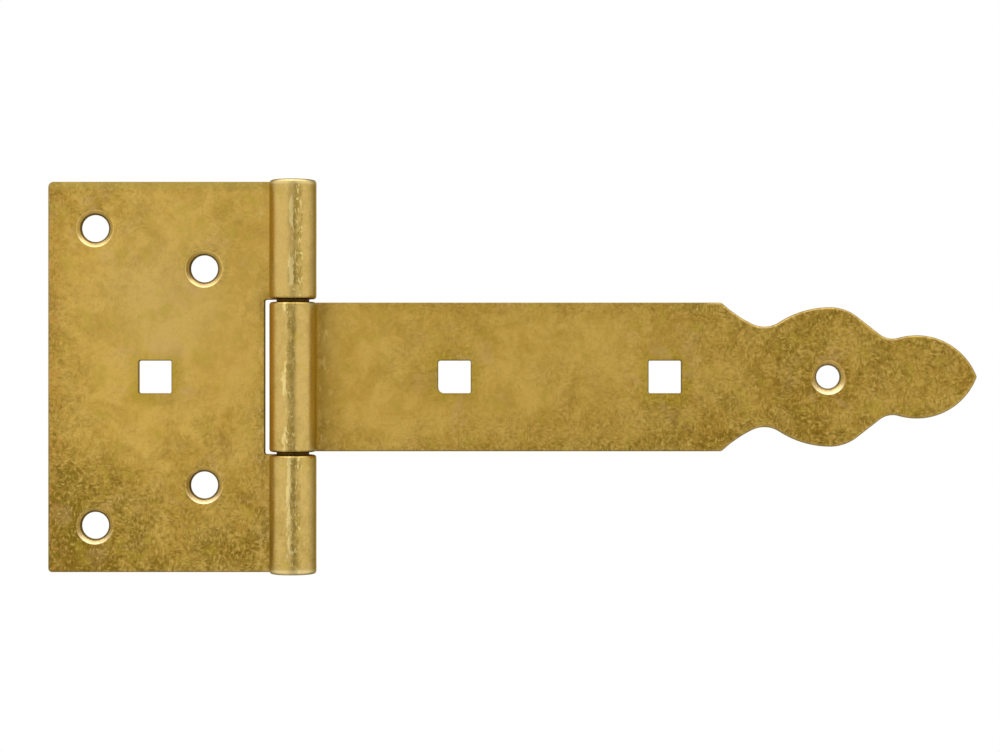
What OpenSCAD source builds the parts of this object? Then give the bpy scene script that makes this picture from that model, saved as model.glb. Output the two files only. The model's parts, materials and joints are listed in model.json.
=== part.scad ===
// T hinge with an ornamental strap, for doors, gates and garden fences.
// Plates lie in the XZ plane with their backs on y = 0 and their fronts towards -Y.
// The pin stands along Z, the strap points along +X.

/* [Sheet and pin] */
// Thickness of the sheet that both plates are pressed from
sheet_t = 1.5; // [1.3:0.1:2.5]
// Diameter of the hinge pin
pin_d = 7; // [5:0.5:9]
// Radial play between the pin and the rolled knuckles
pin_play = 0.05; // [0.02:0.01:0.1]
// Width of the seam left between a rolled end and its plate
seam_gap = 0.15; // [0.1:0.05:0.5]

/* [Leaf] */
// Height of the leaf along the pin
leaf_h = 84; // [76:1:110]
// Distance from the pin axis to the far edge of the leaf
leaf_reach = 53; // [50:1:80]
// Radius of the two far corners
leaf_corner_r = 0.8; // [0.2:0.1:4]
// Gap between the edge of the notch and the strap knuckle
notch_clear = 1.3; // [0.6:0.05:3]
// Axial gap above and below the strap knuckle
knuckle_gap = 0.6; // [0.2:0.1:1.5]

/* [Strap] */
// Width of the strap, also the length of its knuckle
strap_w = 32; // [30:1:38]
// Distance from the pin axis to the shoulders
shoulder_x = 91.9; // [88:0.1:120]
// Corner radius of the shoulders
shoulder_r = 1; // [0.3:0.1:2]

/* [Screw and bolt holes] */
// Screw hole diameter in the leaf
leaf_hole_d = 5.8; // [4:0.1:6]
// Countersink diameter in the leaf
leaf_csk_d = 8.2; // [6.5:0.1:10]
// Screw hole diameter in the strap
tip_hole_d = 5; // [3:0.1:6]
// Countersink diameter in the strap
tip_csk_d = 7.8; // [6.5:0.1:10]
// Straight wall left under the countersinks
csk_land = 0.3; // [0.1:0.1:0.6]
// Side of the square carriage bolt holes
square_a = 7; // [5:0.1:8]
// Distance from the pin axis to the outer pair of screw holes
outer_pair_x = 43; // [41:0.5:44]
// Spacing of the outer pair
outer_pair_s = 64; // [56:1:66]
// Distance from the pin axis to the inner pair of screw holes
inner_pair_x = 19.5; // [16:0.5:20]
// Spacing of the inner pair
inner_pair_s = 46.6; // [44:0.2:52]
// Distance from the pin axis to the square hole in the leaf
leaf_square_x = 30; // [26:1:32]
// Distance from the pin axis to the first square hole in the strap
near_square_x = 34.4; // [20:0.1:50]
// Distance from the pin axis to the second square hole in the strap
far_square_x = 79.7; // [60:0.1:82]
// Distance from the pin axis to the screw hole in the strap's lobe
tip_hole_x = 114.9; // [113:0.1:117]

/* [Finial] */
// Hollow sweep from the shoulder down to the first neck
sweep_r = 27; // [26:0.5:29]
// Hollow of the first neck
neck_r = 6; // [5.5:0.1:6.5]
// Rising side of the lobe
lobe_rise_r = 20; // [19:0.5:21]
// Falling side of the lobe
lobe_fall_r = 9.4; // [9:0.1:10]
// Straight flank behind the lobe
flank_l = 6.2; // [5.8:0.1:6.6]
// Hollow of the second neck
throat_r = 4.6; // [4.2:0.1:5]
// Round of the pointed tip
tip_r = 13.8; // [13.5:0.1:14.2]

/* [Hidden] */
$fn = 96;
eps = 0.05;
// Turn of the outlines' round stretches per facet, in degrees
facet_turn = 4;
bore_r = pin_d / 2 + pin_play;
curl_r = bore_r + sheet_t;
// The roll stops where its outer corner would meet the face of its own plate
seam_angle = acos(bore_r / curl_r) + seam_gap / curl_r * 180 / PI;
curl_sweep = 360 - seam_angle;
notch_x = curl_r + notch_clear;
notch_h = strap_w + 2 * knuckle_gap;
leaf_knuckle_l = (leaf_h - notch_h) / 2;
stake_l = 3;
stake_bevel = 0.5;
// Headings of the finial outline, in degrees above the strap direction
shoulder_heading = -42.5;
sweep_heading = -26.3;
rise_heading = 33;
flank_heading = -38;
throat_heading = 16.3;
zinc = [0.76, 0.62, 0.3];
steel = [0.45, 0.38, 0.22];

leaf();
strap();
pin();

// Rectangular leaf with four screw holes, one square hole and a knuckle at each end
module leaf() {
  color(zinc)
    difference() {
      union() {
        sheet() leaf_outline();
        mirror([1, 0, 0]) {
          curl(notch_h / 2, leaf_knuckle_l);
          curl(-leaf_h / 2, leaf_knuckle_l);
        }
      }
      for (side = [-1, 1]) {
        screw_hole(-outer_pair_x, side * outer_pair_s / 2, leaf_hole_d, leaf_csk_d);
        screw_hole(-inner_pair_x, side * inner_pair_s / 2, leaf_hole_d, leaf_csk_d);
      }
      square_hole(-leaf_square_x);
    }
}

// Long strap with one knuckle, two square holes and a lobed, pointed end
module strap() {
  color(zinc)
    difference() {
      union() {
        sheet() strap_outline();
        curl(-strap_w / 2, strap_w);
      }
      square_hole(near_square_x);
      square_hole(far_square_x);
      screw_hole(tip_hole_x, 0, tip_hole_d, tip_csk_d);
    }
}

// Pin, staked tight in the outer ends of the leaf knuckles and flush with them
module pin() {
  half = leaf_h / 2;
  color(steel)
    translate([0, -curl_r, 0])
      rotate_extrude()
        polygon([
          [0, -half],
          [bore_r - stake_bevel, -half],
          [bore_r, -half + stake_bevel],
          [bore_r, -half + stake_l],
          [pin_d / 2, -half + stake_l],
          [pin_d / 2, half - stake_l],
          [bore_r, half - stake_l],
          [bore_r, half - stake_bevel],
          [bore_r - stake_bevel, half],
          [0, half]
        ]);
}

// Flat sheet from an outline drawn as (x, z)
module sheet() {
  rotate([90, 0, 0])
    linear_extrude(sheet_t)
      children();
}

// End of a plate that comes from +X, rolled forwards round the pin, from height z0 upwards
module curl(z0, length) {
  translate([0, -curl_r, z0])
    rotate([0, 0, 90])
      rotate_extrude(angle = curl_sweep)
        translate([bore_r, 0])
          square([sheet_t, length]);
}

module leaf_outline() {
  top = bend([[leaf_corner_r - leaf_reach, leaf_h / 2]], leaf_corner_r, 180, 270);
  far = bend(concat(top, [[-leaf_reach, leaf_corner_r - leaf_h / 2]]), leaf_corner_r, 270, 360);
  difference() {
    polygon(concat([[0, leaf_h / 2]], far, [[0, -leaf_h / 2]]));
    translate([-notch_x, -notch_h / 2])
      square([notch_x + eps, notch_h]);
  }
}

module strap_outline() {
  upper = [for (p = strap_edge) if (p[1] > 0) p];
  lower = [for (i = [len(upper) - 1 : -1 : 0]) [upper[i][0], -upper[i][1]]];
  polygon(concat([[0, strap_w / 2]], upper, [[tip_x, 0]], lower, [[0, -strap_w / 2]]));
}

// Through hole with a countersink opening to the front
module screw_hole(x, z, hole_d, csk_d) {
  depth = sheet_t - csk_land;
  widen = (csk_d - hole_d) / 2 / depth * eps;
  translate([x, -sheet_t, z])
    rotate([-90, 0, 0]) {
      translate([0, 0, -eps])
        cylinder(h = depth + eps, r1 = csk_d / 2 + widen, r2 = hole_d / 2);
      cylinder(h = sheet_t + eps, r = hole_d / 2);
    }
}

module square_hole(x) {
  translate([x - square_a / 2, -sheet_t - eps, -square_a / 2])
    cube([square_a, sheet_t + 2 * eps, square_a]);
}

function last(path) = path[len(path) - 1];

// Path carried on by a tangent arc from heading h0 to h1, a positive radius turning left
function bend(path, r, h0, h1) =
  let (steps = ceil(abs(h1 - h0) / facet_turn))
  concat(path, [for (i = [1 : steps]) let (h = h0 + (h1 - h0) * i / steps)
    last(path) + r * [sin(h) - sin(h0), cos(h0) - cos(h)]]);

// Upper edge of the strap from the shoulder to the tip
shoulder_turn = shoulder_r * tan(-shoulder_heading / 2);
shoulder = bend([[shoulder_x - shoulder_turn, strap_w / 2]], -shoulder_r, 0, shoulder_heading);
sweep = bend(shoulder, sweep_r, shoulder_heading, sweep_heading);
neck = bend(sweep, neck_r, sweep_heading, rise_heading);
rise = bend(neck, -lobe_rise_r, rise_heading, 0);
fall = bend(rise, -lobe_fall_r, 0, flank_heading);
flank = concat(fall, [last(fall) + flank_l * [cos(flank_heading), sin(flank_heading)]]);
throat = bend(flank, throat_r, flank_heading, throat_heading);
// The tip round runs on to the centre line
tip_heading = -acos(cos(throat_heading) - last(throat)[1] / tip_r);
strap_edge = bend(throat, -tip_r, throat_heading, tip_heading);
tip_x = last(throat)[0] + tip_r * (sin(throat_heading) - sin(tip_heading));
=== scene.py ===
"""Pressed steel T hinge in yellow-passivated zinc: two rolled plates and their pin, in a plain studio.

Lengths are millimetres until a mesh is made; the frame and the scene are in metres.
"""
import json
import math

import bmesh
import bpy
import numpy as np
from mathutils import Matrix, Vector
from mathutils.geometry import delaunay_2d_cdt


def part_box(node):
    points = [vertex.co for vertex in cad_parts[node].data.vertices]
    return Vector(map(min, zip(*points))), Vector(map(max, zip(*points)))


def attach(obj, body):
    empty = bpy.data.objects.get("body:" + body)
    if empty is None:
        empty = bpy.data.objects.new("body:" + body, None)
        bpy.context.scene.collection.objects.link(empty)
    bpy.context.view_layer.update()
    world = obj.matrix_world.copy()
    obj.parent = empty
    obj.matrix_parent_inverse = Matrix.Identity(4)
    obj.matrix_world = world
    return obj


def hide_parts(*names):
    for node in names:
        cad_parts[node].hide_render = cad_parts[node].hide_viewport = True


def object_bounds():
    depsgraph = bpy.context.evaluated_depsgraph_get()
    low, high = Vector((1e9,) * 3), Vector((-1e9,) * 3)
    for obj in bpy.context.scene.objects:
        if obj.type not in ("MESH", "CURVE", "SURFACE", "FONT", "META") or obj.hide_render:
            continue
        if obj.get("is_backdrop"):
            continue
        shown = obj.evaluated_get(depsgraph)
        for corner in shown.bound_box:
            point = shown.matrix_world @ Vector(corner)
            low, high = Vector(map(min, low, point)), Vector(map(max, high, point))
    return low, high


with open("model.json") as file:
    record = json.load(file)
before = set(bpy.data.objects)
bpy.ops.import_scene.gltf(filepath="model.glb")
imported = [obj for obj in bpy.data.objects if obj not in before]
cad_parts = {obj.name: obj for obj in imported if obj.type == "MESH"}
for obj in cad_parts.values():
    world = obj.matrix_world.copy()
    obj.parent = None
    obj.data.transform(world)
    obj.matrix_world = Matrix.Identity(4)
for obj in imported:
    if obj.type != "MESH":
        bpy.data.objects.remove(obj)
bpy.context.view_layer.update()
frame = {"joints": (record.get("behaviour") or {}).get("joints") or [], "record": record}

MM = 0.001
mounts = {m["name"]: m for m in frame["record"]["mounts"]}
axis_y = frame["joints"][0]["pos_m"][1] / MM


def box_mm(node):
    return [np.array(c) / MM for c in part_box(node)]


def mount_mm(name):
    return np.array(mounts[name]["pos_m"]) / MM


leaf_lo, leaf_hi = box_mm("leaf")
strap_hi = box_mm("strap")[1]
pin_hi = box_mm("pin")[1]

SHEET = 1.5                       # thickness of the sheet
CURL_R = -axis_y                  # outside of the rolled knuckles
BORE_R = CURL_R - SHEET
SEAM_GAP = 0.15                   # between a rolled end and its plate
SWEEP = 2 * math.pi - math.acos(BORE_R / CURL_R) - SEAM_GAP / CURL_R
MID_R = CURL_R - SHEET / 2
CURL_LEN = SWEEP * MID_R          # flat length of a roll
LEAF_H = leaf_hi[2]
STRAP_H = strap_hi[2]
NOTCH_CLEAR = 1.3                 # from the strap's knuckle to the edge of the notch
KNUCKLE_GAP = 0.6                 # between the knuckles, along the pin
NOTCH_X = CURL_R + NOTCH_CLEAR
NOTCH_H = STRAP_H + KNUCKLE_GAP
CSK_DEPTH = 1.2
SQUARE_SIDE = 7.0                 # square bolt holes
LEAF_CSK_R = 4.0                  # where a countersink would meet the face if its rim were sharp
TIP_CSK_R = 3.8                   # the same for the hole in the strap's lobe
ROLL_STEP = 0.37                  # spacing of points round a roll
SIDE_STEP = 1.2                   # spacing of points along every other side
GRID_STEP = 1.25                  # spacing of points inside the sheet


def smooth(x, a, b):
    t = np.clip((x - a) / (b - a), 0, 1)
    return t * t * (3 - 2 * t)


# ------------------------------------------------------------------ outlines, drawn flat as (u, v)
def bend(path, r, h0, h1, step=3.0):
    """The path carried on by a tangent arc from heading h0 to h1; a positive radius turns left."""
    n = max(2, math.ceil(abs(h1 - h0) / step))
    p, a0 = path[-1], math.radians(h0)
    for i in range(1, n + 1):
        a = math.radians(h0 + (h1 - h0) * i / n)
        path.append((p[0] + r * (math.sin(a) - math.sin(a0)),
                     p[1] + r * (math.cos(a0) - math.cos(a))))
    return path


def rounded(corners, steps=5):
    """Closed outline through (u, v, corner radius)."""
    out, n = [], len(corners)
    for i in range(n):
        p0, p, p1 = (np.array(corners[(i + k) % n][:2], float) for k in (-1, 0, 1))
        r = corners[i][2]
        a, b = (p0 - p) / np.linalg.norm(p0 - p), (p1 - p) / np.linalg.norm(p1 - p)
        half = math.acos(float(np.clip(a @ b, -1, 1))) / 2
        if r <= 0:
            out.append(tuple(p))
            continue
        centre = p + (a + b) / np.linalg.norm(a + b) * r / math.sin(half)
        s, e = p + a * r / math.tan(half), p + b * r / math.tan(half)
        t0, t1 = (math.atan2(q[1] - centre[1], q[0] - centre[0]) for q in (s, e))
        turn = (t1 - t0 + math.pi) % (2 * math.pi) - math.pi
        for k in range(steps + 1):
            t = t0 + turn * k / steps
            out.append((centre[0] + r * math.cos(t), centre[1] + r * math.sin(t)))
    return out


def resample(loop):
    """Splits long sides: finely along the roll, where the sheet bends, and coarsely elsewhere."""
    out = []
    for p, q in zip(loop, loop[1:] + loop[:1]):
        p, q = np.array(p, float), np.array(q, float)
        stops = [p, q]
        if p[0] * q[0] < 0:
            stops.insert(1, p + (q - p) * p[0] / (p[0] - q[0]))
        for a, b in zip(stops, stops[1:]):
            along = abs(b[0] - a[0]) > abs(b[1] - a[1])
            step = ROLL_STEP if along and a[0] + b[0] > 0 else SIDE_STEP
            n = max(1, math.ceil(np.linalg.norm(b - a) / step))
            out += [tuple(a + (b - a) * k / n) for k in range(n)]
    return out


def wound(loop, anticlockwise):
    a = np.array(loop)
    area = np.sum(a[:, 0] * np.roll(a[:, 1], -1) - np.roll(a[:, 0], -1) * a[:, 1])
    return loop if (area > 0) == anticlockwise else loop[::-1]


def inset(loop, d):
    """The loop moved d to its left, into the metal; d is one number, or one for each point."""
    p = np.array(loop)
    e0, e1 = p - np.roll(p, 1, 0), np.roll(p, -1, 0) - p
    n0, n1 = (np.c_[-e[:, 1], e[:, 0]] / np.linalg.norm(e, axis=1)[:, None] for e in (e0, e1))
    m = n0 + n1
    m /= np.linalg.norm(m, axis=1)[:, None]
    return p + m * (d / np.clip((m * n0).sum(1), 0.35, 1))[:, None]


def inside(points, loop):
    """Even-odd test of points against a loop."""
    x, y = points[:, 0][:, None], points[:, 1][:, None]
    a = np.array(loop)
    b = np.roll(a, -1, 0)
    with np.errstate(divide="ignore", invalid="ignore"):
        hit = ((a[:, 1] > y) != (b[:, 1] > y)) & (
            x < (b[:, 0] - a[:, 0]) * (y - a[:, 1]) / (b[:, 1] - a[:, 1]) + a[:, 0])
    return hit.sum(1) % 2 == 1


def distance(points, loop):
    """Least distance from each point to a loop's points."""
    a = np.array(resample(list(map(tuple, loop))))
    out = np.empty(len(points))
    for i in range(0, len(points), 2000):
        q = points[i:i + 2000]
        out[i:i + 2000] = np.sqrt(((q[:, None] - a[None]) ** 2).sum(2)).min(1)
    return out


# ------------------------------------------------------- edges, as rows of (inset, height above the back)
def sheared(front_r, back_r):
    """A pressed edge: rolled over on the punch side, broken on the other."""
    rows = [(front_r + 0.15, SHEET)]
    rows += [(front_r * (1 - math.sin(a)), SHEET - front_r * (1 - math.cos(a)))
             for a in np.linspace(0, math.pi / 2, 6)]
    rows += [(back_r * (1 - math.cos(a)), back_r * (1 - math.sin(a)))
             for a in np.linspace(0, math.pi / 2, 5)]
    return rows + [(back_r + 0.15, 0.0)]


def countersunk(hole_r, csk_r, rim_r):
    """A screw hole: rounded rim, cone, short straight wall, broken back edge. Insets from the wall."""
    slope = math.atan2(CSK_DEPTH, csk_r - hole_r)
    start = csk_r - hole_r + rim_r * math.tan(slope / 2)
    rows = [(start + 0.2, SHEET)]
    rows += [(start - rim_r * math.sin(a), SHEET - rim_r * (1 - math.cos(a)))
             for a in np.linspace(0, slope, 7)]
    foot = SHEET - CSK_DEPTH
    rows += [(0.10, foot + 0.10), (0.04, foot + 0.02), (0.0, foot - 0.06)]
    rows += [(0.0, 0.08), (0.03, 0.02), (0.09, 0.0)]
    return rows + [(0.3, 0.0)]


def circle(c, r, n=72):
    turns = [2 * math.pi * k / n for k in range(n)]
    return [(c[0] + r * math.cos(t), c[1] + r * math.sin(t)) for t in turns]


def square(c, a, corner_r):
    h = a / 2
    places = ((c[0] - h, c[1] - h), (c[0] + h, c[1] - h), (c[0] + h, c[1] + h), (c[0] - h, c[1] + h))
    return [tuple(p) for p in rounded([(x, y, r) for (x, y), r in zip(places, corner_r)], 4)]


# ------------------------------------------------------------------ rolled sheet
def unevenness(u, v, seed):
    """How far a face falls short of flat, 0 to 0.06 mm: long soft waves, and shorter ones on the roll."""
    rng = np.random.default_rng(seed)
    out = np.zeros_like(u)
    for wave, depth, count in ((34.0, 0.5, 5), (11.0, 0.16, 7)):
        for _ in range(count):
            a, ph = rng.uniform(0, 2 * math.pi, 2)
            k = 2 * math.pi / (wave * rng.uniform(0.7, 1.4))
            out += depth / count * np.sin(k * (u * math.cos(a) + v * math.sin(a)) + ph)
    roll = np.clip(u / 2, 0, 1)
    for _ in range(9):
        ku, kv = 2 * math.pi / rng.uniform(2.0, 4.5), 2 * math.pi / rng.uniform(4.0, 22.0)
        out += roll * 0.055 * np.sin(ku * u + kv * v * rng.choice([-1, 1]) + rng.uniform(0, 6.3))
    return 0.03 + 0.03 * np.clip(out, -1, 1)


def crest_flat(u, v, seed):
    """The ragged flat that rolling leaves along the front of a knuckle, as a dip in the outer face."""
    rng = np.random.default_rng(seed + 7)
    width = np.full_like(v, 0.8)
    for _ in range(6):
        width += 0.1 * np.sin(2 * math.pi * v / rng.uniform(1.8, 12.0) + rng.uniform(0, 6.3))
    angle = np.clip(np.abs(u / MID_R - math.pi), 0, 1)
    return CURL_R * np.clip(1 - np.cos(width / CURL_R) / np.cos(angle), 0, 1)


def to_space(uvw, mirror):
    """From the flat sheet (u, v, height above the back) to the hinge's frame.

    It stays flat up to u = 0 and is rolled round the pin beyond it.
    """
    u, v, w = uvw.T
    phi = np.clip(u, 0, None) / MID_R
    r = CURL_R - w
    x = np.where(u > 0, r * np.sin(phi), u)
    y = np.where(u > 0, axis_y + r * np.cos(phi), -w)
    return np.c_[-x if mirror else x, y, v]


def pressed_plate(name, outline, holes, mirror, spans, seed):
    """One closed mesh: a blank with its edges and holes finished, rolled round the pin.

    holes are (loop, edge rows); spans are the (v low, v high) of the stretches that are rolled.
    """
    rng = np.random.default_rng(seed)
    rim_loop = wound(resample(outline), True)
    at_u = np.array(rim_loop)[:, 0]
    front_r = 0.24 + 0.24 * smooth(-at_u, 86, 94)
    back_r = 0.26 + 0.4 * smooth(at_u, 0, 3)
    loops = [(rim_loop, sheared(front_r, back_r))]
    loops += [(wound(list(map(tuple, lp)), False), rows) for lp, rows in holes]
    pts, faces, front, back = [], [], [], []
    for loop, rows in loops:
        n, base = len(loop), len(pts)
        for d, h in rows:
            pts += [(p[0], p[1], z) for p, z in zip(inset(loop, d), np.broadcast_to(h, n))]
        for k in range(len(rows) - 1):
            a = base + k * n
            faces += [(a + j, a + (j + 1) % n, a + n + (j + 1) % n, a + n + j) for j in range(n)]
        front.append(range(base, base + n))
        back.append(range(base + (len(rows) - 1) * n, base + len(rows) * n))
    # points inside, for the sheet's waves and its bend
    lo = np.array(loops[0][0]).min(0)
    gu, gv = np.meshgrid(np.arange(lo[0] + 0.7, -0.8, GRID_STEP),
                         np.arange(lo[1] + 0.7, -lo[1], GRID_STEP))
    grid = np.c_[gu.ravel(), gv.ravel()] + rng.uniform(-0.2, 0.2, (gu.size, 2))
    for v0, v1 in spans:
        cols = np.linspace(0, CURL_LEN, math.ceil(CURL_LEN / ROLL_STEP) + 1)
        rows_v = np.linspace(v0, v1, math.ceil((v1 - v0) / GRID_STEP) + 1)[1:-1]
        ru, rv = np.meshgrid(cols, rows_v)
        grid = np.vstack([grid, np.c_[ru.ravel(), rv.ravel()]])
    for side, height in ((front, SHEET), (back, 0.0)):
        rings = [[(pts[i][0], pts[i][1]) for i in ring] for ring in side]
        keep = inside(grid, rings[0])
        for ring in rings[1:]:
            keep &= ~inside(grid, ring)
        flat = np.array([p for ring in rings for p in ring])
        ok = grid[keep]
        far = np.empty(len(ok))
        for i in range(0, len(ok), 2000):
            far[i:i + 2000] = np.sqrt(((ok[i:i + 2000, None] - flat[None]) ** 2).sum(2)).min(1)
        ok = ok[far > 0.2]
        ids = [i for ring in side for i in ring] + list(range(len(pts), len(pts) + len(ok)))
        pts += [(p[0], p[1], height) for p in ok]
        edges, base = [], 0
        for ring in rings:
            edges += [(base + j, base + (j + 1) % len(ring)) for j in range(len(ring))]
            base += len(ring)
        both = np.vstack([flat, ok])
        _, _, tris, origin, _, _ = delaunay_2d_cdt([Vector(p) for p in both], edges, [], 0, 1e-7)
        real = [o[0] for o in origin]
        tris = np.array([[real[i] for i in t] for t in tris])
        mid = both[tris].mean(1)
        keep = inside(mid, rings[0])
        for ring in rings[1:]:
            keep &= ~inside(mid, ring)
        faces += [tuple(ids[i] for i in t) for t in tris[keep]]
    uvw = np.array(pts)
    edge = np.min([distance(uvw[:, :2], loop) for loop, _ in loops], axis=0)
    rim = np.min([distance(uvw[:, :2], loop) for loop, _ in loops[1:]], axis=0)
    share = uvw[:, 2] / SHEET
    dip_f = unevenness(uvw[:, 0], uvw[:, 1], seed)
    dip_b = unevenness(uvw[:, 0], uvw[:, 1], seed + 50)
    crest = crest_flat(uvw[:, 0], uvw[:, 1], seed)
    worked = uvw.copy()
    worked[:, 2] += np.maximum(dip_b, crest) * (1 - share) - dip_f * share
    obj = make_piece(name, to_space(worked, mirror) * MM, faces)
    give(obj, "edge_mm", edge)
    give(obj, "rim_mm", rim)
    # only a countersunk hole begins so far from its wall
    sunk = [distance(uvw[:, :2], loop) for loop, rows in loops[1:] if rows[0][0] > 0.8]
    give(obj, "csk_mm", np.where(uvw[:, 0] < -5, np.min(sunk, axis=0), 99.0))
    give(obj, "depth", share)
    give(obj, "flat_u", uvw[:, 0])
    give(obj, "crest_mm", (uvw[:, 0] / MID_R - math.pi) * CURL_R)
    return obj


def make_piece(name, points, faces):
    mesh = bpy.data.meshes.new(name)
    mesh.from_pydata([tuple(p) for p in points], [], faces)
    bm = bmesh.new()
    bm.from_mesh(mesh)
    bmesh.ops.recalc_face_normals(bm, faces=bm.faces)
    bm.to_mesh(mesh)
    bm.free()
    mesh.shade_smooth()
    obj = bpy.data.objects.new(name, mesh)
    bpy.context.scene.collection.objects.link(obj)
    return obj


def give(obj, name, values):
    """Stores one number a vertex for the materials to read."""
    layer = obj.data.attributes.new(name, "FLOAT", "POINT")
    layer.data.foreach_set("value", np.asarray(values, np.float32))


# ------------------------------------------------------------------ leaf
def leaf_piece():
    x0, h, e = leaf_lo[0], LEAF_H, CURL_LEN
    outline = rounded([(x0, -h, 0.8), (e, -h, 0.9), (e, -NOTCH_H, 0.9), (-NOTCH_X, -NOTCH_H, 0.4),
                       (-NOTCH_X, NOTCH_H, 0.4), (e, NOTCH_H, 0.9), (e, h, 0.9), (x0, h, 1.1)])
    holes = []
    for name in ("leaf_outer_screws", "leaf_inner_screws"):
        c, dims = mount_mm(name), mounts[name]["dims"]
        for side in (-1, 1):
            at = (c[0], c[2] + side * dims["spacing_y_mm"] / 2)
            holes.append((circle(at, dims["hole_r_mm"]), countersunk(dims["hole_r_mm"], LEAF_CSK_R, 0.6)))
    c = mount_mm("leaf_square")
    hole = square((c[0], c[2]), SQUARE_SIDE, (0.35, 0.3, 0.3, 0.35))
    holes.append((resample(hole), sheared(0.22, 0.12)))
    return pressed_plate("leaf_plate", outline, holes, False, [(-h, -NOTCH_H), (NOTCH_H, h)], 11)


# ------------------------------------------------------------------ strap
def strap_edge():
    """Upper edge from the shoulder to the tip, in x from the pin: arcs of (radius, heading, heading)."""
    shoulder_x, shoulder_cut = 91.9, 0.39
    flank_length, flank_slope = 6.2, math.radians(38)
    throat_heading, tip_r = 16.3, 13.8
    path = [(shoulder_x - shoulder_cut, STRAP_H)]
    for r, h0, h1 in ((-1.0, 0, -42.5), (27, -42.5, -26.3), (6, -26.3, 33), (-20, 33, 0), (-9.4, 0, -38)):
        path = bend(path, r, h0, h1)
    path.append((path[-1][0] + flank_length * math.cos(flank_slope),
                 path[-1][1] - flank_length * math.sin(flank_slope)))
    path = bend(path, 4.6, -38, throat_heading)
    last = -math.degrees(math.acos(math.cos(math.radians(throat_heading)) - path[-1][1] / tip_r))
    path = bend(path, -tip_r, throat_heading, last)
    return path[:-1]


def strap_piece():
    upper = strap_edge()
    outline = rounded([(CURL_LEN, -STRAP_H, 0.9), (CURL_LEN, STRAP_H, 0.9)]
                      + [(-x, y, 0) for x, y in upper]
                      + [(-strap_hi[0], 0.0, 0.7)]
                      + [(-x, -y, 0) for x, y in reversed(upper)])
    holes = []
    for name, corners in (("strap_square_near", (0.35, 1.2, 0.45, 0.35)),
                          ("strap_square_far", (0.3, 0.3, 0.3, 0.3))):
        c = mount_mm(name)
        hole = square((-c[0], c[2]), SQUARE_SIDE, corners)
        holes.append((resample(hole), sheared(0.22, 0.12)))
    c, dims = mount_mm("strap_tip_screw"), mounts["strap_tip_screw"]["dims"]
    holes.append((circle((-c[0], c[2]), dims["r_mm"], 64), countersunk(dims["r_mm"], TIP_CSK_R, 0.5)))
    return pressed_plate("strap_plate", outline, holes, True, [(-STRAP_H, STRAP_H)], 23)


# ------------------------------------------------------------------ pin
def pin_piece():
    """Wire-drawn pin with its ends staked: a broken rim, a low crown and the ring the stake leaves."""
    r, r_end, h = 3.5, pin_hi[0], pin_hi[2]
    end = [(0.0, 0.0), (0.45, -0.015), (0.9, -0.03), (1.15, -0.16), (1.4, -0.17), (1.6, -0.05),
           (2.1, -0.07), (2.7, -0.13), (3.1, -0.24), (3.35, -0.42), (3.5, -0.68), (r_end, -0.95),
           (r_end, -2.9), (r, -3.1)]
    mids = [(r, z) for z in np.linspace(h - 5, -(h - 5), 24)]
    profile = [(a, h + b) for a, b in end] + mids + [(a, -h - b) for a, b in reversed(end)]
    n = 72
    pts, faces = [(0, axis_y, profile[0][1])], []
    for a, z in profile[1:-1]:
        pts += [(a * math.cos(2 * math.pi * k / n), axis_y + a * math.sin(2 * math.pi * k / n), z)
                for k in range(n)]
    pts.append((0, axis_y, profile[-1][1]))
    rings = len(profile) - 2
    for k in range(n):
        faces.append((0, 1 + k, 1 + (k + 1) % n))
        after = (k + 1) % n
        faces += [(1 + i * n + k, 1 + (i + 1) * n + k, 1 + (i + 1) * n + after, 1 + i * n + after)
                  for i in range(rings - 1)]
        faces.append((len(pts) - 1, 1 + (rings - 1) * n + (k + 1) % n, 1 + (rings - 1) * n + k))
    return make_piece("hinge_pin", np.array(pts) * MM, faces)


# ------------------------------------------------------------------ materials
class Nodes:
    """Builds the nodes of a material or a world with little writing."""

    def __init__(self, owner):
        owner.use_nodes = True
        self.owner = owner
        self.tree = owner.node_tree
        self.tree.nodes.clear()

    def add(self, kind, inputs=None, out=0, **props):
        n = self.tree.nodes.new("ShaderNode" + kind)
        for k, v in props.items():
            setattr(n, k, v)
        for k, v in (inputs or {}).items():
            if isinstance(v, bpy.types.NodeSocket):
                self.tree.links.new(v, n.inputs[k])
            else:
                n.inputs[k].default_value = v
        return n.outputs[out] if n.outputs else n

    def math(self, op, a, b=0.0, clamp=False):
        return self.add("Math", {0: a, 1: b}, operation=op, use_clamp=clamp)

    def attr(self, name):
        return self.add("Attribute", out="Fac", attribute_name=name)

    def noise(self, at, scale, detail=3.0, rough=0.5, distortion=0.0):
        inputs = {"Vector": at, "Scale": scale, "Detail": detail, "Roughness": rough,
                  "Distortion": distortion}
        return self.add("TexNoise", inputs, out="Fac")

    def ramp(self, fac, a, b, lo=0.0, hi=1.0, smooth=True):
        inputs = {"Value": fac, "From Min": a, "From Max": b, "To Min": lo, "To Max": hi}
        return self.add("MapRange", inputs, interpolation_type="SMOOTHSTEP" if smooth else "LINEAR")

    def mix(self, fac, a, b, blend="MIX"):
        return self.add("Mix", {"Factor": fac, 6: a, 7: b}, out=2, data_type="RGBA", blend_type=blend)


def srgb(r, g, b):
    return (*[((c / 255 + 0.055) / 1.055) ** 2.4 if c > 10 else c / 255 / 12.92 for c in (r, g, b)], 1.0)


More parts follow.
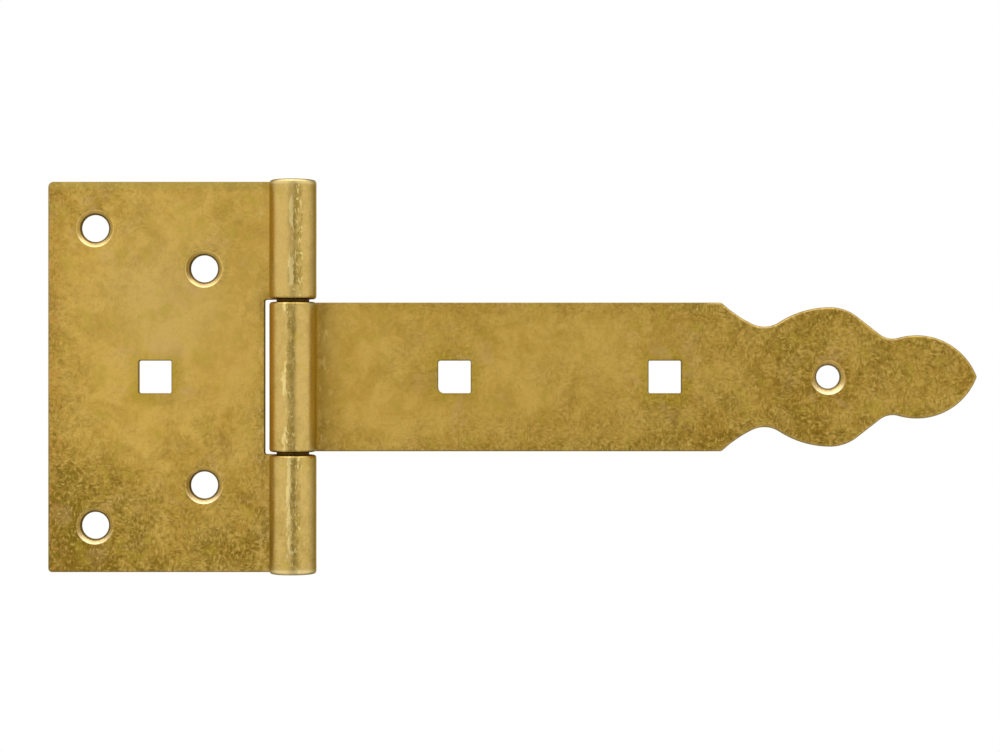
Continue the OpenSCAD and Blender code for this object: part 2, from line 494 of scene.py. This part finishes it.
def zinc_material(name, shift):
    """Yellow-passivated zinc on pressed steel: calm in the middle, flecked and olive towards the edges."""
    n = Nodes(bpy.data.materials.new(name))
    raw = n.add("TexCoord", out="Object")
    at = n.add("Mapping", {"Vector": raw, "Scale": (1000, 1000, 1000), "Location": shift})
    names = ("edge_mm", "rim_mm", "csk_mm", "depth", "mottle", "crest_mm", "flat_u")
    edge, rim, csk, depth, mottle, crest, flat = (n.attr(a) for a in names)
    cloud = n.noise(at, 0.05, 3, 0.55)
    patch = n.noise(at, 0.14, 4, 0.6, 0.8)
    blotch = n.noise(at, 0.42, 4, 0.62, 1.2)
    upright = n.add("Mapping", {"Vector": at, "Scale": (2.0, 2.0, 1.1)})
    slanted = n.add("Mapping", {"Vector": at, "Scale": (1.1, 2.0, 2.0), "Rotation": (0, 0.35, 0)})
    swirl = n.ramp(n.noise(at, 0.35, 2, 0.5), 0.44, 0.56)
    two_ways = {"Factor": swirl, 2: n.noise(upright, 1.0, 2, 0.5, 0.5), 3: n.noise(slanted, 1.0, 2, 0.5, 0.5)}
    fleck = n.add("Mix", two_ways, data_type="FLOAT")
    grain = n.noise(at, 3.2, 3, 0.6, 0.6)
    rolled = n.ramp(flat, 0.0, 4.0)
    # how broken up the surface is here
    age = n.math("ADD", mottle, n.ramp(cloud, 0.35, 0.7, -0.2, 0.25))
    age = n.math("ADD", age, n.ramp(edge, 0.3, 3.6, 0.28, 0.0), clamp=True)
    age = n.math("MULTIPLY", age, n.math("SUBTRACT", 1.0, n.math("MULTIPLY", rolled, 0.72)))
    light = n.mix(n.ramp(patch, 0.35, 0.65), srgb(210, 173, 84), srgb(204, 165, 73))
    light = n.mix(rolled, light, srgb(196, 167, 96))
    dark = n.mix(n.ramp(patch, 0.35, 0.65), srgb(128, 105, 24), srgb(138, 107, 30))
    tone = n.math("MULTIPLY", n.ramp(blotch, 0.3, 0.7, -0.24, 0.32),
                  n.math("ADD", n.math("MULTIPLY", age, 0.7), 0.4))
    tone = n.math("ADD", tone, n.math("MULTIPLY", age, 0.62))
    tone = n.math("ADD", tone, n.ramp(mottle, 0.85, 1.7, 0.0, 0.38))
    tone = n.math("ADD", tone, n.ramp(patch, 0.35, 0.7, -0.08, 0.16), clamp=True)
    col = n.mix(tone, light, dark)
    # flecks of the passivation, dark ones and bright ones
    deep = n.math("MULTIPLY", n.ramp(fleck, 0.5, 0.68), n.math("ADD", n.math("MULTIPLY", age, 0.5), 0.06))
    col = n.mix(deep, col, srgb(100, 82, 20))
    pale = n.math("MULTIPLY", n.ramp(fleck, 0.48, 0.32), n.math("ADD", n.math("MULTIPLY", age, 0.4), 0.2))
    col = n.mix(pale, col, srgb(212, 182, 98))
    # the leaf's pale bloom and olive top edge, painted shade on the strap beside its knuckle, tan flecks down
    # the leaf's far edge, pale spots on the plates beside the knuckles, and a yellow halo round the square
    # holes
    col = n.mix(n.attr("bloom"), col, srgb(205, 179, 110))
    col = n.mix(n.attr("olive"), col, srgb(186, 168, 84))
    col = n.mix(n.attr("nook_shade"), col, srgb(112, 88, 28))
    tan = n.math("MULTIPLY", n.attr("tan"), n.ramp(n.noise(at, 0.8, 3, 0.6, 0.4), 0.48, 0.6))
    col = n.mix(tan, col, srgb(200, 146, 74))
    spots = n.math("MULTIPLY", n.ramp(flat, -10.0, -6.5, 0.0, 0.5),
                   n.ramp(n.noise(upright, 0.5, 3, 0.6, 0.4), 0.55, 0.64))
    col = n.mix(n.math("MULTIPLY", spots, n.ramp(flat, -4.8, -5.4)), col, srgb(220, 188, 112))
    halo = n.math("MULTIPLY", n.ramp(rim, 3.6, 0.6, 0.0, 0.35), n.ramp(csk, 3.5, 6.0))
    col = n.mix(halo, col, srgb(176, 150, 34))
    col = n.mix(n.ramp(grain, 0.5, 0.75, 0.0, 0.3), col, srgb(150, 120, 44))
    # thin-film tints: rosy round the holes, greenish elsewhere
    rosy = n.math("MULTIPLY", n.ramp(n.noise(at, 0.2, 2, 0.5, 0.4), 0.5, 0.66),
                  n.ramp(rim, 1.0, 9.0, 0.26, 0.05))
    col = n.mix(rosy, col, srgb(205, 168, 116))
    col = n.mix(n.ramp(n.noise(at, 0.28, 2, 0.5, 0.4), 0.56, 0.7, 0.0, 0.35), col, srgb(180, 158, 56))
    # along the front of the knuckles: a ragged dark band, partly the tool's scuffed flat and partly a painted
    # reflection, with painted highlights beside it
    along = n.add("Mapping", {"Vector": raw, "Scale": (1500, 1500, 560), "Location": shift})
    tear = n.noise(along, 1.0, 3, 0.6, 0.5)
    slow = n.noise(along, 0.28, 2, 0.5, 0.3)
    across = n.math("ADD", n.math("MULTIPLY", n.add("SeparateXYZ", {0: raw}), 1000.0),
                    n.ramp(slow, 0.3, 0.7, -0.4, 0.4, False))
    across = n.math("ADD", across, n.ramp(tear, 0.3, 0.7, -0.35, 0.35, False))
    ahead = n.ramp(n.math("ABSOLUTE", crest), 3.0, 2.5)
    across = n.math("SUBTRACT", across, n.attr("scuff_and_reflection_x"))
    off = n.math("ABSOLUTE", across)
    coarse = n.add("Mapping", {"Vector": raw, "Scale": (500, 500, 420), "Location": shift})
    broken = n.noise(coarse, 1.0, 3, 0.6, 0.4)
    scuff_and_dark_reflection = n.math("MULTIPLY", n.ramp(off, 1.35, 0.5), n.ramp(tear, 0.36, 0.52, 0.12, 0.68))
    scuff_and_dark_reflection = n.math("MULTIPLY", scuff_and_dark_reflection, n.ramp(broken, 0.38, 0.56, 0.25, 1.0))
    col = n.mix(n.math("MULTIPLY", scuff_and_dark_reflection, ahead), col, srgb(132, 110, 38))
    # painted highlight: a cream line beside the dark band, and cream flecks within it
    crest_highlight = n.math("MULTIPLY", n.ramp(n.math("ABSOLUTE", n.math("ADD", across, 1.25)), 0.55, 0.25),
                 n.ramp(slow, 0.44, 0.54))
    crest_highlight = n.math("MAXIMUM", crest_highlight, n.math("MULTIPLY", n.ramp(off, 1.5, 1.0), n.ramp(tear, 0.57, 0.64)))
    col = n.mix(n.math("MULTIPLY", n.math("MULTIPLY", crest_highlight, ahead), 0.55), col, srgb(240, 220, 152))
    # painted shade on the flanks: the seam's side of every knuckle, and the notch's side of the strap's
    col = n.mix(n.math("MULTIPLY", n.ramp(crest, 4.2, 5.2, 0.0, 0.65), rolled), col, srgb(166, 164, 108))
    col = n.mix(n.attr("flank"), col, srgb(128, 126, 84))
    # painted highlight on the outer ends of the leaf's knuckles
    col = n.mix(n.attr("end_glint"), col, srgb(238, 218, 160))
    # the countersinks: brighter where the tool cut, a painted highlight on the low side, a worn lip and
    # painted shade at the foot
    on_cone = n.math("MULTIPLY", n.ramp(depth, 0.999, 0.97), n.ramp(depth, 0.14, 0.22))
    cut = n.math("MULTIPLY", n.ramp(csk, 1.15, 1.0), on_cone)
    col = n.mix(n.math("MULTIPLY", cut, 0.5), col, srgb(204, 174, 100))
    # painted highlight on the low side of each countersink
    col = n.mix(n.attr("csk_highlight"), col, srgb(244, 226, 190))
    lip = n.math("MULTIPLY", n.ramp(n.math("ABSOLUTE", n.math("SUBTRACT", csk, 1.0)), 0.16, 0.05),
                 n.ramp(slow, 0.42, 0.55))
    col = n.mix(n.math("MULTIPLY", lip, n.ramp(depth, 0.5, 0.8, 0.0, 0.4)), col, srgb(226, 196, 118))
    # painted shade at the foot of each countersink and down the hole's wall
    col = n.mix(n.ramp(csk, 0.5, 0.25, 0.0, 0.9), col, srgb(74, 60, 26))
    # edges: a darker line round every edge, part dull sheared metal and part painted shade over the rounding,
    # and the sheared wall
    finial_wear_and_sheen = n.ramp(flat, -86.0, -94.0)
    # lighter band round the strap's far end: wear, and a painted highlight on its rounded edge
    col = n.mix(n.math("MULTIPLY", n.ramp(edge, 0.7, 0.25, 0.0, 0.25), finial_wear_and_sheen), col, srgb(214, 186, 126))
    # painted shade over the rounded edges, with the dull sheared metal
    line = n.math("MULTIPLY", n.ramp(edge, 0.34, 0.1, 0.0, 0.72),
                  n.math("SUBTRACT", 1.0, n.math("MULTIPLY", finial_wear_and_sheen, 0.2)))
    col = n.mix(line, col, srgb(106, 86, 36))
    # painted shade over the rounded edges of the knuckles
    col = n.mix(n.math("MULTIPLY", n.ramp(edge, 0.6, 0.2, 0.0, 0.35), rolled), col, srgb(120, 96, 40))
    broken_off = n.ramp(n.math("ADD", depth, n.ramp(fleck, 0.3, 0.7, -0.12, 0.12)), 0.62, 0.5)
    torn = n.math("MULTIPLY", n.ramp(edge, 0.06, 0.02), broken_off)
    col = n.mix(n.math("MULTIPLY", torn, 0.6), col, srgb(98, 78, 34))
    rough = n.math("ADD", n.ramp(blotch, 0.25, 0.75, 0.30, 0.38), n.math("MULTIPLY", age, 0.08))
    rough = n.math("SUBTRACT", rough, n.math("MULTIPLY", rolled, 0.06))
    rough = n.math("ADD", rough, n.math("MULTIPLY", torn, 0.15))
    height = n.math("MULTIPLY", fleck, n.math("ADD", n.math("MULTIPLY", age, 0.9), 0.15))
    fine = n.math("MULTIPLY", grain, n.math("ADD", n.math("MULTIPLY", age, 0.3), 0.12))
    height = n.math("ADD", height, fine)
    scuffed = n.math("MULTIPLY", n.ramp(off, 1.3, 0.8, 0.0, 0.35), ahead)
    height = n.math("ADD", height, n.math("MULTIPLY", tear, scuffed))
    bump = n.add("Bump", {"Strength": 1.0, "Distance": 0.00004, "Height": height})
    shader = n.add("BsdfPrincipled", {"Base Color": col, "Metallic": 1.0, "Roughness": rough, "Normal": bump,
                                      "Specular Tint": (0.8, 0.62, 0.3, 1), "Coat Weight": 0.12,
                                      "Coat Roughness": 0.3, "Coat IOR": 1.45})
    n.add("OutputMaterial", {"Surface": shader})
    return n.owner


def pin_material():
    """Drawn wire, with painted shade along its length where the knuckles hide it, and brighter struck ends.
    """
    n = Nodes(bpy.data.materials.new("pin_passivated"))
    raw = n.add("TexCoord", out="Object")
    at = n.add("Mapping", {"Vector": raw, "Scale": (1000, 1000, 1000)})
    along = n.add("Mapping", {"Vector": raw, "Scale": (4000, 4000, 160)})
    drawn = n.noise(along, 1.0, 4, 0.6)
    blotch = n.noise(at, 0.9, 4, 0.6, 0.8)
    grain = n.noise(at, 5.0, 3, 0.6)
    col = n.mix(n.ramp(blotch, 0.35, 0.65), srgb(176, 144, 74), srgb(134, 108, 50))
    col = n.mix(n.ramp(drawn, 0.45, 0.65, 0.0, 0.4), col, srgb(196, 164, 92))
    along_pin = n.add("SeparateXYZ", {0: at}, out=2)
    # painted shade along the pin, which shows only in the narrow gaps between the knuckles
    gap_shade = n.ramp(n.math("ABSOLUTE", along_pin), 41.3, 40.9)
    col = n.mix(n.math("MULTIPLY", gap_shade, 0.93), col, srgb(64, 42, 10))
    rough = n.ramp(grain, 0.3, 0.7, 0.34, 0.5)
    height = n.math("ADD", n.math("MULTIPLY", drawn, 0.6), n.math("MULTIPLY", grain, 0.4))
    bump = n.add("Bump", {"Strength": 0.8, "Distance": 0.00004, "Height": height})
    shader = n.add("BsdfPrincipled", {"Base Color": col, "Metallic": 1.0, "Roughness": rough, "Normal": bump})
    n.add("OutputMaterial", {"Surface": shader})
    return n.owner


# ------------------------------------------------------------------ assembly
def coordinates(obj):
    """Vertex places in millimetres."""
    co = np.empty(len(obj.data.vertices) * 3, np.float32)
    obj.data.vertices.foreach_get("co", co)
    return co.reshape(-1, 3) / MM


def lit_low_side(co, name, r_csk):
    """Painted highlight on the low side of each countersink of a mount, the side that faces the light from
    above.
    """
    centre, dims = mount_mm(name), mounts[name]["dims"]
    half = dims.get("spacing_y_mm", 0.0) / 2
    out = np.zeros(len(co))
    for z in (centre[2] - half, centre[2] + half):
        r = np.hypot(co[:, 0] - centre[0], co[:, 2] - z)
        out = np.maximum(out, smooth((z - co[:, 2]) / r, 0.1, 0.8) * (r < r_csk) * (co[:, 1] < -0.5))
    return out


leaf = leaf_piece()
c = coordinates(leaf)
low = smooth(-c[:, 2], -4, 44) * (1 - 0.4 * smooth(c[:, 0], -26, -12) * smooth(c[:, 2], -36, -28))
far = 0.2 * smooth(-c[:, 0], 42, 52) + 0.6 * smooth(-c[:, 0], 35, 49) * smooth(-c[:, 2], 4, 26)
give(leaf, "mottle", 0.1 + 0.85 * low + far + 0.3 * smooth(c[:, 2], 22, 42) * smooth(-c[:, 0], 5, 45))
# painted highlight on the low side of the leaf's countersinks
crescents = np.maximum(lit_low_side(c, "leaf_outer_screws", 4.05), lit_low_side(c, "leaf_inner_screws", 4.05))
give(leaf, "csk_highlight", (0.62 - 0.2 * (c[:, 2] > 0)) * crescents)
give(leaf, "tan", 0.45 * smooth(-c[:, 0], 48, 52))
give(leaf, "bloom", 0.4 * np.exp(-(((c[:, 0] + 28) / 14) ** 2 + ((c[:, 2] - 17) / 14) ** 2)))
give(leaf, "olive", 0.45 * smooth(c[:, 2], 40.4, 41.3) * (c[:, 0] < -7))
on_knuckle = smooth(-c[:, 1], 2.5, 5) * (c[:, 0] > -5.2)
# painted highlight on the outer ends of the leaf's knuckles
give(leaf, "end_glint", 0.5 * smooth(np.abs(c[:, 2]), 40.65, 41.25) * on_knuckle)
# where the knuckles' dark band sits across the crest: part scuff, part painted reflection
give(leaf, "scuff_and_reflection_x", np.where(c[:, 2] > 0, 1.5, 0.95))
strap = strap_piece()
c = coordinates(strap)
give(strap, "mottle", 0.14 + 0.2 * smooth(c[:, 0], 35, 60) + 0.47 * smooth(c[:, 0], 62, 95)
     + 0.18 * smooth(-c[:, 2], 5, 14))
# painted shade on the strap's plate in the nook beside its knuckle
give(strap, "nook_shade", 0.42 * smooth(-c[:, 0], -12.5, -5) * (c[:, 0] > 5.2) * (c[:, 1] < -0.7))
# painted highlight on the low side of the strap's countersink
give(strap, "csk_highlight", 0.7 * lit_low_side(c, "strap_tip_screw", 3.85))
# painted shade on the notch's side of the strap's knuckle
give(strap, "flank", 0.5 * smooth(-c[:, 0], 3.9, 4.7) * (c[:, 1] < -2))
pin = pin_piece()

for piece, mat, body, node, slot in (
        (leaf, zinc_material("zinc_leaf", (0, 0, 0)), "leaf_side", "leaf", "plate_zinc"),
        (strap, zinc_material("zinc_strap", (137, 41, 83)), "strap_side", "strap", "plate_zinc"),
        (pin, pin_material(), "leaf_side", "pin", "pin_steel")):
    piece.data.materials.append(mat)
    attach(piece, body)
    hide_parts(node)


# ------------------------------------------------------------------ studio
def cyclorama(name):
    """A pale room without corners: floor, cove, wall and dome turned about the vertical."""
    low, r_wall, cove = -0.42, 4.2, 0.9
    pole = 0.00001                # left open at both poles, so that no two points coincide
    prof = [(pole, low), (1.5, low), (r_wall - cove, low)]
    prof += [(r_wall - cove + cove * math.sin(a), low + cove * (1 - math.cos(a)))
             for a in np.linspace(0, math.pi / 2, 16)[1:]]
    prof += [(r_wall * math.cos(a), 1.0 + r_wall * math.sin(a))
             for a in np.linspace(0, math.pi / 2 - pole, 20)]
    n = 96
    pts = [(p * math.cos(2 * math.pi * k / n), p * math.sin(2 * math.pi * k / n), z)
           for p, z in prof for k in range(n)]
    faces = [(i * n + k, i * n + (k + 1) % n, (i + 1) * n + (k + 1) % n, (i + 1) * n + k)
             for i in range(len(prof) - 1) for k in range(n)]
    mesh = bpy.data.meshes.new(name)
    mesh.from_pydata(pts, [], faces)
    mesh.shade_smooth()
    obj = bpy.data.objects.new(name, mesh)
    bpy.context.scene.collection.objects.link(obj)
    paper = Nodes(bpy.data.materials.new("white_paper"))
    glow = paper.add("Emission", {"Color": (1, 1, 1, 1), "Strength": 1.0})
    paper.add("OutputMaterial", {"Surface": glow})
    mesh.materials.append(paper.owner)
    obj.visible_glossy = obj.visible_diffuse = obj.visible_shadow = False
    obj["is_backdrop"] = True


def soft_dome():
    """Light from all round: broad sides and a bright ceiling, dimmer between them, behind and below.

    Straight behind and straight below it rises again.
    """
    n = Nodes(bpy.data.worlds.new("studio"))
    way = n.tree.nodes.new("ShaderNodeSeparateXYZ")
    n.tree.links.new(n.add("TexCoord", out="Generated"), way.inputs[0])
    right, back, up = way.outputs
    front = n.math("MULTIPLY", back, -1.0)
    side = n.math("MAXIMUM", n.ramp(right, -0.03, -0.26), n.ramp(right, 0.18, 0.38))
    level = n.math("MULTIPLY", n.math("ADD", n.math("MULTIPLY", side, 0.52), 0.62),
                   n.ramp(front, -0.9, 0.12, 0.22, 1.0, False))
    level = n.math("ADD", level, n.ramp(front, -0.78, -0.96, 0.0, 0.6))
    level = n.math("MULTIPLY", level, n.ramp(up, -0.3, -0.75, 1.0, 0.7))
    level = n.math("ADD", level, n.ramp(up, -0.55, -0.9, 0.0, 0.4))
    ceiling = n.math("MULTIPLY", n.ramp(up, 0.5, 0.85, 0.0, 2.1), n.ramp(front, -0.4, -0.05, 0.12, 1.0))
    level = n.math("ADD", level, ceiling)
    n.add("OutputWorld", {"Surface": n.add("Background", {"Color": (1.0, 0.99, 0.97, 1), "Strength": level})})
    bpy.context.scene.world = n.owner


cyclorama("paper_room")
soft_dome()

scene = bpy.context.scene
lo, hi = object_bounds()
camera = bpy.data.objects.new("camera", bpy.data.cameras.new("camera"))
camera.data.sensor_width = 36
camera.data.lens = 81.0
camera_distance = 0.484           # from the fronts of the plates
shift_x = -0.0027                 # towards the leaf from the object's middle
shift_z = 0.0002
camera.location = ((lo[0] + hi[0]) / 2 + shift_x, -SHEET * MM - camera_distance, shift_z)
camera.rotation_euler = (math.pi / 2, 0, 0)
camera.data.clip_end = 50
scene.collection.objects.link(camera)
scene.camera = camera
scene.view_settings.view_transform = "Standard"
